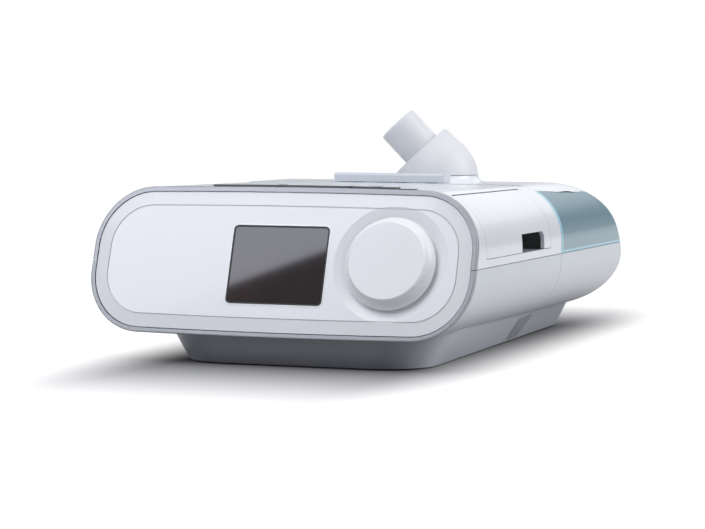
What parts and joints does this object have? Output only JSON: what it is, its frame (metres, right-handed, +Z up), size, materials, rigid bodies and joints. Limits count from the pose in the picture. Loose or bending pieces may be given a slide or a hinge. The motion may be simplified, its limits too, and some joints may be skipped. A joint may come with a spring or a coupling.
{
  "type": "cpap machine",
  "caption": "Bedside CPAP machine with a tilted screen and dial panel, deck buttons, side filter door and a docked heated humidifier with a swivelling air outlet",
  "frame": {"origin": "on the surface it stands on, in the middle of its length and width, in the plan of its bounding box", "axes": "+X to the right of someone facing the screen; +Y from the front panel to the rear; +Z up"},
  "size_m": [0.193, 0.2925, 0.1201],
  "materials": {
    "case_upper": "glossy cool white",
    "case_lower": "satin pale grey",
    "rim": "satin mid grey",
    "panel": "glossy white",
    "lens": "black glass",
    "display": "dark",
    "board": "green circuit board",
    "dial": "satin white",
    "steel": "bright steel",
    "encoder": "black moulding",
    "buttons": "satin white",
    "bezel": "satin grey",
    "sensor": "dark window",
    "inner_grey": "matt grey",
    "foam": "open foam",
    "card": "dark blue-black",
    "blower": "white moulding",
    "impeller": "dark moulding",
    "motor": "black",
    "rubber": "soft grey rubber",
    "tank": "smoke blue clear plastic",
    "seal": "pale silicone",
    "heater": "plain aluminium",
    "lid": "glossy cool white",
    "latch": "satin light grey",
    "elbow": "matt white",
    "base_dark": "satin grey",
    "tab": "satin grey"
  },
  "bodies": {
    "main_unit": {"upper_case": "case_upper", "lower_case": "case_lower", "rim_upper": "rim", "rim_lower": "rim", "front_panel": "panel", "screen_lens": "lens", "display_module": "display", "control_board": "board", "dial_encoder": "encoder", "button_bezel": "bezel", "sensor_window": "sensor", "switch_board": "board", "door_bay": "inner_grey", "filter_frame": "blower", "foam_filter": "foam", "memory_card": "card", "card_socket": "encoder", "blower_housing": "blower", "blower_cover": "blower", "blower_motor": "motor", "blower_mounts": "rubber", "outlet_duct": "rubber", "main_board": "board", "dock_plug": "encoder", "unit_feet": "rubber", "case_screws": "steel"},
    "dial": {"control_dial": "dial", "dial_shaft": "steel"},
    "dial_plunger": {"dial_plunger": "steel"},
    "therapy_button": {"therapy_button": "buttons"},
    "ramp_button": {"ramp_button": "buttons"},
    "side_door": {"side_door": "case_upper"},
    "impeller": {"motor_shaft": "steel", "impeller": "impeller"},
    "humidifier": {"humidifier_base": "base_dark", "water_tank": "tank", "port_seal": "seal", "heater_plate": "heater", "heater_pads": "rubber", "heater_board": "board", "dock_socket": "encoder", "power_inlet": "encoder", "humidifier_feet": "rubber", "hinge_pin": "steel"},
    "humidifier_lid": {"humidifier_lid": "lid", "lid_seal": "seal", "latch_pin": "steel"},
    "lid_latch": {"lid_latch": "latch"},
    "outlet_elbow": {"outlet_elbow": "elbow", "elbow_seal": "seal"},
    "release_tab": {"release_tab": "tab"}
  },
  "joints": [
    {"name": "therapy_press", "type": "slide", "parent": "main_unit", "child": "therapy_button", "axis": [0, 0, -1], "range_m": [0, 0.0008], "stiffness_N_per_m": 600},
    {"name": "ramp_press", "type": "slide", "parent": "main_unit", "child": "ramp_button", "axis": [0, 0, -1], "range_m": [0, 0.0008], "stiffness_N_per_m": 600},
    {"name": "dial_press", "type": "slide", "parent": "main_unit", "child": "dial_plunger", "axis": [0, 0.95, -0.3123], "range_m": [0, 0.0008], "stiffness_N_per_m": 900},
    {"name": "dial_turn", "type": "hinge", "parent": "dial_plunger", "child": "dial", "pos_m": [0.0554, -0.13407, 0.04913], "axis": [0, -0.95, 0.3123], "continuous": true},
    {"name": "side_door_hinge", "type": "hinge", "parent": "main_unit", "child": "side_door", "pos_m": [0.07937, -0.0632, 0.0788], "axis": [0, -1, 0], "range_deg": [0, 75]},
    {"name": "impeller_spin", "type": "hinge", "parent": "main_unit", "child": "impeller", "pos_m": [-0.04, -0.0542, 0.056], "axis": [0, 0, 1], "continuous": true},
    {"name": "humidifier_slide", "type": "slide", "parent": "main_unit", "child": "humidifier", "axis": [0, 1, 0], "range_m": [0, 0.03]},
    {"name": "lid_hinge", "type": "hinge", "parent": "humidifier", "child": "humidifier_lid", "pos_m": [0, 0.13983, 0.051], "axis": [-1, 0, 0], "range_deg": [0, 80]},
    {"name": "latch_hinge", "type": "hinge", "parent": "humidifier_lid", "child": "lid_latch", "pos_m": [0, 0.02755, 0.08475], "axis": [-1, 0, 0], "range_deg": [0, 40]},
    {"name": "elbow_swivel", "type": "hinge", "parent": "humidifier_lid", "child": "outlet_elbow", "pos_m": [0.013, 0.0608, 0.0858], "axis": [0, 0, 1], "range_deg": [-100, 100]},
    {"name": "tab_press", "type": "slide", "parent": "humidifier", "child": "release_tab", "axis": [-0.8192, 0, 0.5736], "range_m": [0, 0.0015], "stiffness_N_per_m": 800}
  ]
}
